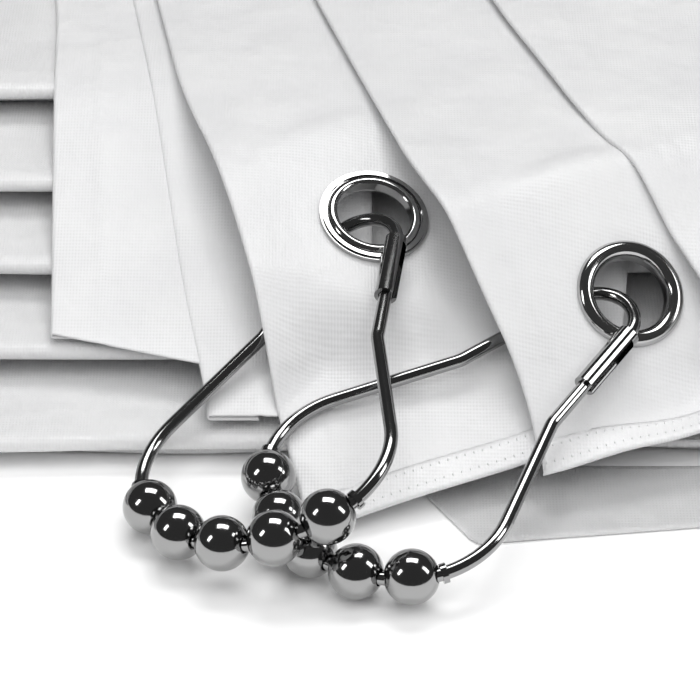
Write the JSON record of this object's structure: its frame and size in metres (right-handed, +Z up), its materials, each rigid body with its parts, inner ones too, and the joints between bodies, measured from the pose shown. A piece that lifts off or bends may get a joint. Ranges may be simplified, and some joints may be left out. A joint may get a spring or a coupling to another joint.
{
  "type": "shower curtain",
  "caption": "Frosted vinyl shower curtain folded into a loose bundle, with fanned header flaps, metal eyelets and crossed roller-ball hooks.",
  "frame": {"origin": "middle of the folded bundle's footprint, at the surface it lies on", "axes": "+Z up, -Y towards the header edge and the hooks, +X along the folded width"},
  "size_m": [0.3, 0.2661, 0.0423],
  "materials": {
    "vinyl_sheet": "frosted embossed",
    "vinyl_hem": "welded",
    "eyelet_metal": "dark nickel, polished",
    "hook_metal": "dark nickel, polished",
    "ball_metal": "dark nickel, polished"
  },
  "bodies": {
    "bundle": {"fold_packet_1": "vinyl_sheet", "fold_packet_2": "vinyl_sheet", "fold_packet_3": "vinyl_sheet", "fold_packet_4": "vinyl_sheet", "fold_packet_5": "vinyl_sheet", "ground_flap": "vinyl_sheet", "under_flap": "vinyl_sheet", "side_flap": "vinyl_sheet", "flap_1_rear": "vinyl_sheet", "flap_2_rear": "vinyl_sheet", "flap_3_rear": "vinyl_sheet", "stack_eyelets": "eyelet_metal", "stack_washers": "eyelet_metal"},
    "header": {"flap_1": "vinyl_sheet", "flap_1_hem": "vinyl_hem", "eyelet_1": "eyelet_metal", "washer_1": "eyelet_metal", "flap_2": "vinyl_sheet", "flap_2_hem": "vinyl_hem", "eyelet_2": "eyelet_metal", "washer_2": "eyelet_metal", "flap_3": "vinyl_sheet", "flap_3_hem": "vinyl_hem", "eyelet_3": "eyelet_metal", "washer_3": "eyelet_metal"},
    "hook_1": {"hook_1_wire": "hook_metal"},
    "hook_1_ball_1": {"hook_1_ball_1": "ball_metal"},
    "hook_1_ball_2": {"hook_1_ball_2": "ball_metal"},
    "hook_1_ball_3": {"hook_1_ball_3": "ball_metal"},
    "hook_1_ball_4": {"hook_1_ball_4": "ball_metal"},
    "hook_1_ball_5": {"hook_1_ball_5": "ball_metal"},
    "hook_2": {"hook_2_wire": "hook_metal"},
    "hook_2_ball_1": {"hook_2_ball_1": "ball_metal"},
    "hook_2_ball_2": {"hook_2_ball_2": "ball_metal"},
    "hook_2_ball_3": {"hook_2_ball_3": "ball_metal"},
    "hook_2_ball_4": {"hook_2_ball_4": "ball_metal"},
    "hook_2_ball_5": {"hook_2_ball_5": "ball_metal"}
  },
  "joints": [
    {"name": "header_lift", "type": "hinge", "parent": "bundle", "child": "header", "pos_m": [0, -0.02094, 0.0426], "axis": [-1, 0, 0], "range_deg": [0, 45]},
    {"name": "hook_1_turn", "type": "hinge", "parent": "header", "child": "hook_1", "pos_m": [-0.00432, -0.05716, 0.02587], "axis": [-0.5727, -0.7446, -0.343], "range_deg": [0, 24]},
    {"name": "hook_1_ball_1_spin", "type": "hinge", "parent": "hook_1", "child": "hook_1_ball_1", "pos_m": [-0.03431, -0.10834, 0.00594], "axis": [0.3718, -0.9283, -0.0055], "continuous": true},
    {"name": "hook_1_ball_2_spin", "type": "hinge", "parent": "hook_1", "child": "hook_1_ball_2", "pos_m": [-0.02912, -0.11645, 0.00665], "axis": [0.6788, -0.7193, 0.1477], "continuous": true},
    {"name": "hook_1_ball_3_spin", "type": "hinge", "parent": "hook_1", "child": "hook_1_ball_3", "pos_m": [-0.0215, -0.12212, 0.00869], "axis": [0.8635, -0.4283, 0.2665], "continuous": true},
    {"name": "hook_1_ball_4_spin", "type": "hinge", "parent": "hook_1", "child": "hook_1_ball_4", "pos_m": [-0.01263, -0.12463, 0.01174], "axis": [0.9333, -0.0803, 0.3499], "continuous": true},
    {"name": "hook_1_ball_5_spin", "type": "hinge", "parent": "hook_1", "child": "hook_1_ball_5", "pos_m": [-0.00371, -0.12358, 0.01537], "axis": [0.8738, 0.2941, 0.3873], "continuous": true},
    {"name": "hook_2_turn", "type": "hinge", "parent": "header", "child": "hook_2", "pos_m": [0.03864, -0.07023, 0.0225], "axis": [-0.8985, -0.3854, -0.2102], "range_deg": [0, 19.2]},
    {"name": "hook_2_ball_1_spin", "type": "hinge", "parent": "hook_2", "child": "hook_2_ball_1", "pos_m": [-0.01411, -0.10262, 0.00815], "axis": [0.0156, -0.9797, -0.1998], "continuous": true},
    {"name": "hook_2_ball_2_spin", "type": "hinge", "parent": "hook_2", "child": "hook_2_ball_2", "pos_m": [-0.01212, -0.11196, 0.00651], "axis": [0.3855, -0.9132, -0.1323], "continuous": true},
    {"name": "hook_2_ball_3_spin", "type": "hinge", "parent": "hook_2", "child": "hook_2_ball_3", "pos_m": [-0.00682, -0.12005, 0.00561], "axis": [0.6868, -0.7252, -0.0497], "continuous": true},
    {"name": "hook_2_ball_4_spin", "type": "hinge", "parent": "hook_2", "child": "hook_2_ball_4", "pos_m": [0.001, -0.12581, 0.00556], "axis": [0.8968, -0.4408, 0.0395], "continuous": true},
    {"name": "hook_2_ball_5_spin", "type": "hinge", "parent": "hook_2", "child": "hook_2_ball_5", "pos_m": [0.01029, -0.12831, 0.00639], "axis": [0.9894, -0.0622, 0.131], "continuous": true}
  ],
  "couplings": [
    {"joint": "hook_2_turn", "follows": "hook_1_turn", "ratio": 0.8}
  ]
}
